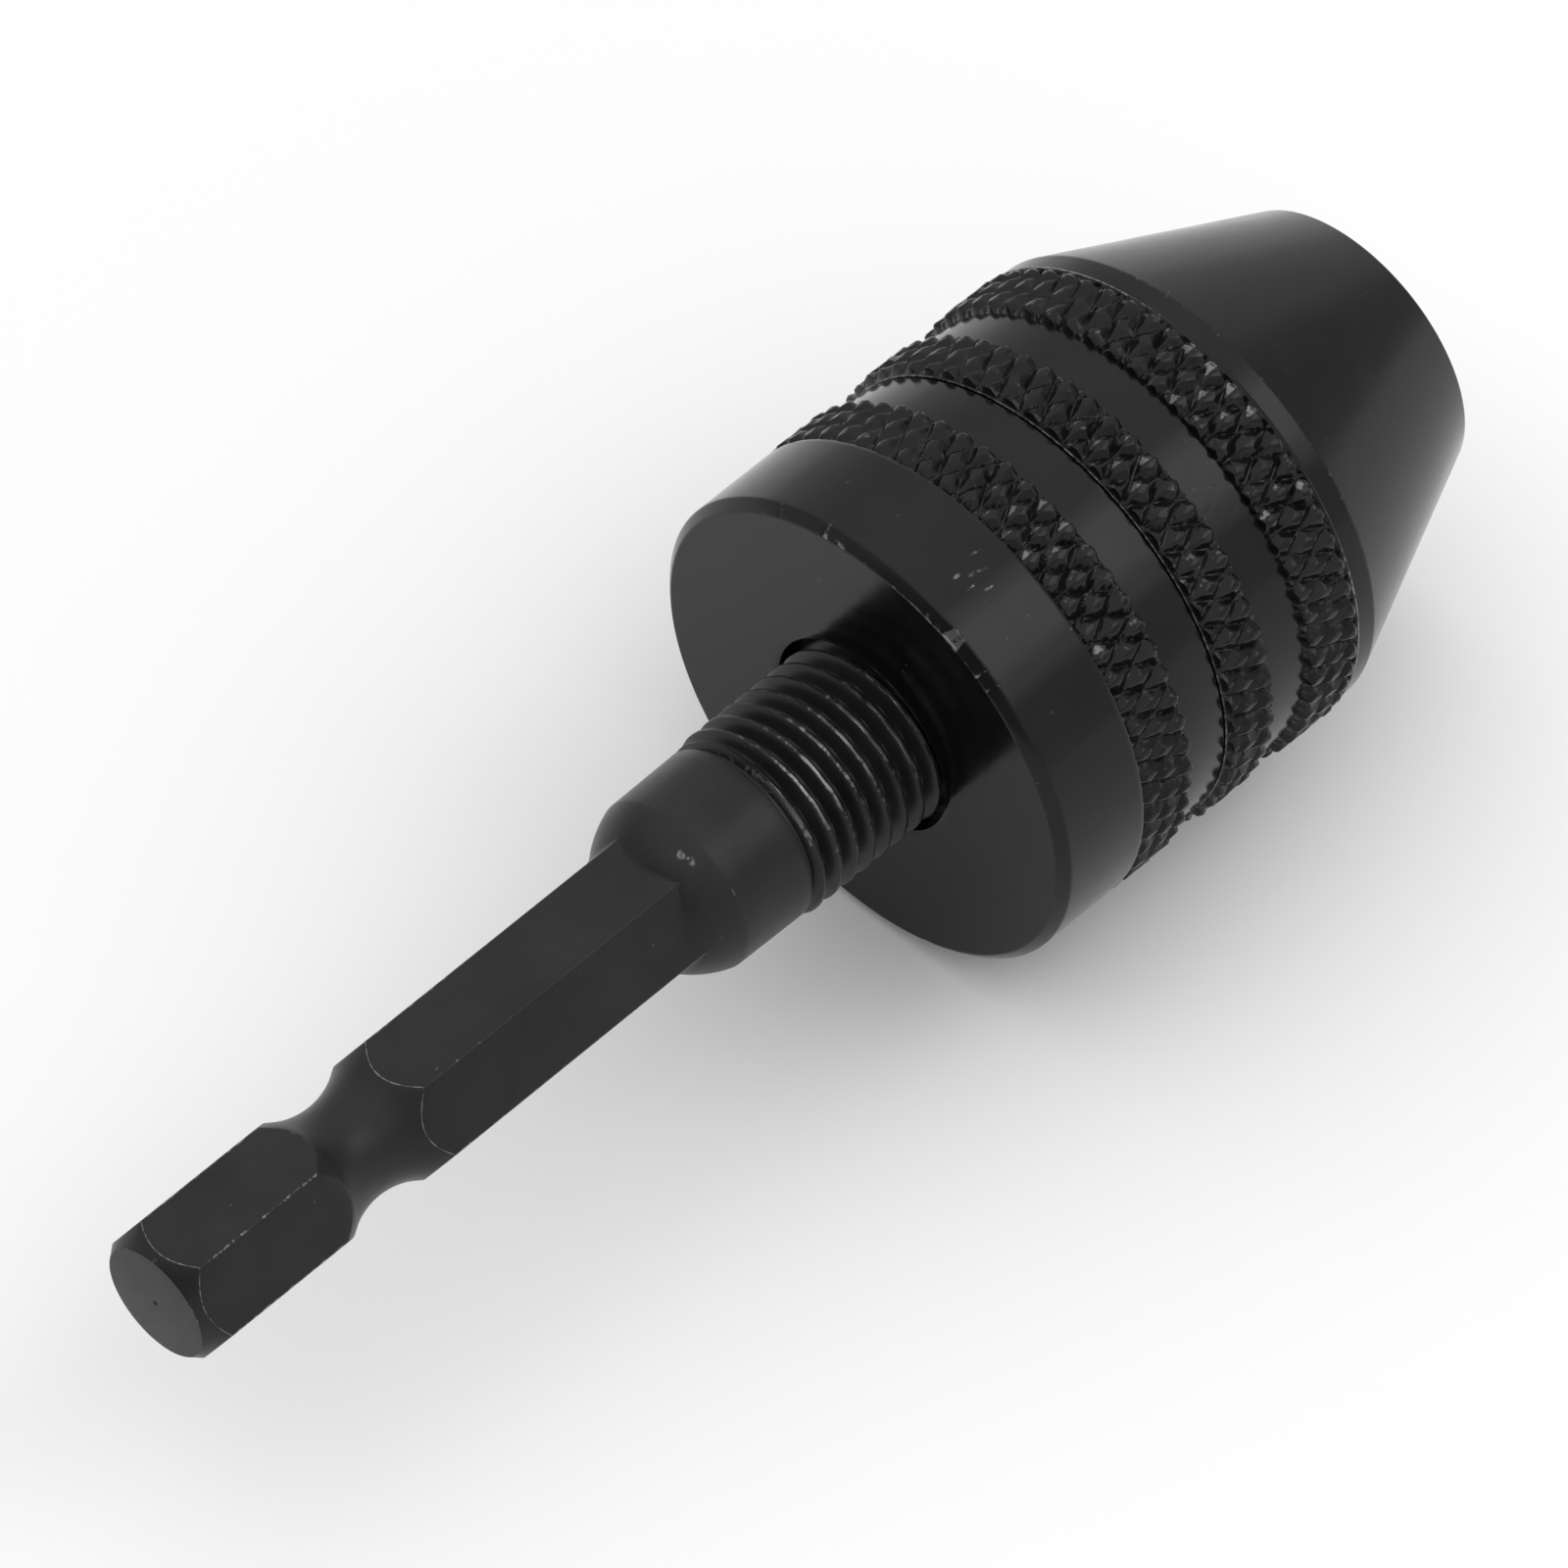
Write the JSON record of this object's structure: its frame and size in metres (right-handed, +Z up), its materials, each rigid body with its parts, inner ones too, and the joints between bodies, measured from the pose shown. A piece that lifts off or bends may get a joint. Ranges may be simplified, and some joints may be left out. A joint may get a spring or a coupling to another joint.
{
  "type": "drill chuck",
  "caption": "Keyless three-jaw drill chuck with knurled steel sleeves and a cone nose, on a threaded hex quick-change shank adapter.",
  "frame": {"origin": "centre of the hex shank's end face, on the chuck axis", "axes": "+X along the chuck axis from the shank end to the nose, +Z up and square to two of the hex flats, +Y along a hex corner"},
  "size_m": [0.0762, 0.025, 0.025],
  "materials": {
    "black_oxide_shank": "satin black oxide with worn bright edges",
    "black_oxide_body": "satin black oxide",
    "black_oxide_sleeve": "satin black oxide, diamond knurled bands",
    "bearing_steel": "polished hardened steel",
    "cage_brass": "stamped brass",
    "nut_steel": "turned steel, oiled",
    "jaw_steel": "ground hardened steel"
  },
  "bodies": {
    "body": {"hex_shank_adapter": "black_oxide_shank", "chuck_body": "black_oxide_body", "rear_sleeve": "black_oxide_sleeve", "rear_bearing_race": "bearing_steel"},
    "sleeve": {"front_sleeve": "black_oxide_sleeve", "nut_half_a": "nut_steel", "nut_half_b": "nut_steel", "nut_band": "nut_steel", "front_bearing_race": "bearing_steel"},
    "cage": {"ball_cage": "cage_brass", "bearing_ball_01": "bearing_steel", "bearing_ball_02": "bearing_steel", "bearing_ball_03": "bearing_steel", "bearing_ball_04": "bearing_steel", "bearing_ball_05": "bearing_steel", "bearing_ball_06": "bearing_steel", "bearing_ball_07": "bearing_steel", "bearing_ball_08": "bearing_steel", "bearing_ball_09": "bearing_steel", "bearing_ball_10": "bearing_steel", "bearing_ball_11": "bearing_steel", "bearing_ball_12": "bearing_steel", "bearing_ball_13": "bearing_steel", "bearing_ball_14": "bearing_steel", "bearing_ball_15": "bearing_steel", "bearing_ball_16": "bearing_steel", "bearing_ball_17": "bearing_steel", "bearing_ball_18": "bearing_steel", "bearing_ball_19": "bearing_steel", "bearing_ball_20": "bearing_steel"},
    "jaw_1_slider": {"jaw_1": "jaw_steel"},
    "jaw_2_slider": {"jaw_2": "jaw_steel"},
    "jaw_3_slider": {"jaw_3": "jaw_steel"}
  },
  "joints": [
    {"name": "sleeve_turn", "type": "hinge", "parent": "body", "child": "sleeve", "pos_m": [0.06, 0, 0], "axis": [1, 0, 0], "range_deg": [-833, 1528]},
    {"name": "cage_turn", "type": "hinge", "parent": "body", "child": "cage", "pos_m": [0.0561, 0, 0], "axis": [1, 0, 0], "range_deg": [-417.5, 765]},
    {"name": "jaw_1_slide", "type": "slide", "parent": "body", "child": "jaw_1_slider", "axis": [0.9659, 0, -0.2588], "range_m": [-0.00425, 0.00232]},
    {"name": "jaw_2_slide", "type": "slide", "parent": "body", "child": "jaw_2_slider", "axis": [0.9659, 0.2241, 0.1294], "range_m": [-0.00425, 0.00232]},
    {"name": "jaw_3_slide", "type": "slide", "parent": "body", "child": "jaw_3_slider", "axis": [0.9659, -0.2241, 0.1294], "range_m": [-0.00425, 0.00232]}
  ],
  "couplings": [
    {"joint": "cage_turn", "follows": "sleeve_turn", "ratio": 0.5},
    {"joint": "jaw_1_slide", "follows": "sleeve_turn", "m_per_rad": -0.00015915},
    {"joint": "jaw_2_slide", "follows": "sleeve_turn", "m_per_rad": -0.00015915},
    {"joint": "jaw_3_slide", "follows": "sleeve_turn", "m_per_rad": -0.00015915}
  ]
}
